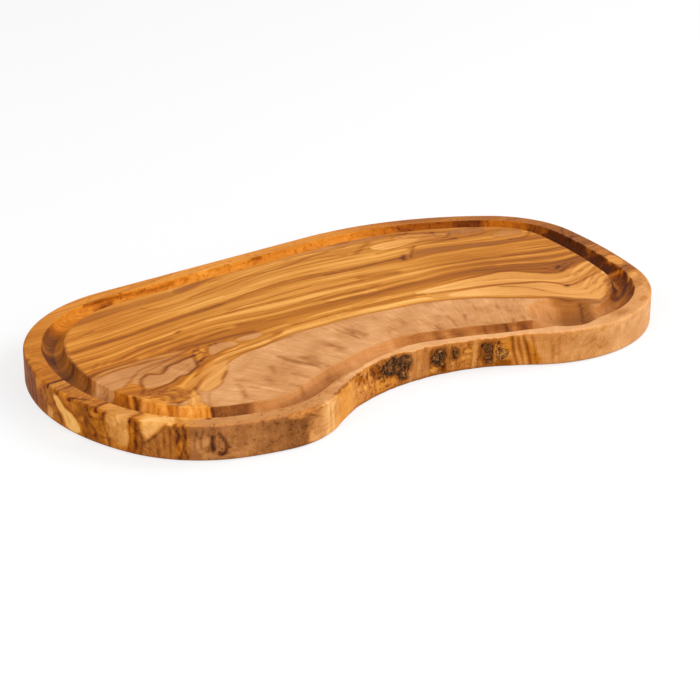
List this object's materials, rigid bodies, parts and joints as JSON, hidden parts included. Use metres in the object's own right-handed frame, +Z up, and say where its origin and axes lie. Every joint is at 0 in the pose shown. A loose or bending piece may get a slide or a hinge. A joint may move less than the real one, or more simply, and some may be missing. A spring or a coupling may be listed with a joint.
{
  "type": "serving board",
  "caption": "Free-form olive wood serving board with a hollow bark-edged front bay, a juice groove along the rim and a round juice well.",
  "frame": {"origin": "middle of the board's box, on the flat underside", "axes": "+X along the length, towards the end with the juice well; +Y across the board, away from the bay; +Z up out of the grooved face"},
  "size_m": [0.3882, 0.2214, 0.02],
  "materials": {
    "olive_wood": "oiled satin",
    "bark": "rough"
  },
  "bodies": {
    "root": {"board_slab": "olive_wood", "bark_left": "bark", "bark_middle": "bark", "bark_sliver": "bark", "bark_right": "bark", "bark_end": "bark"}
  },
  "joints": []
}
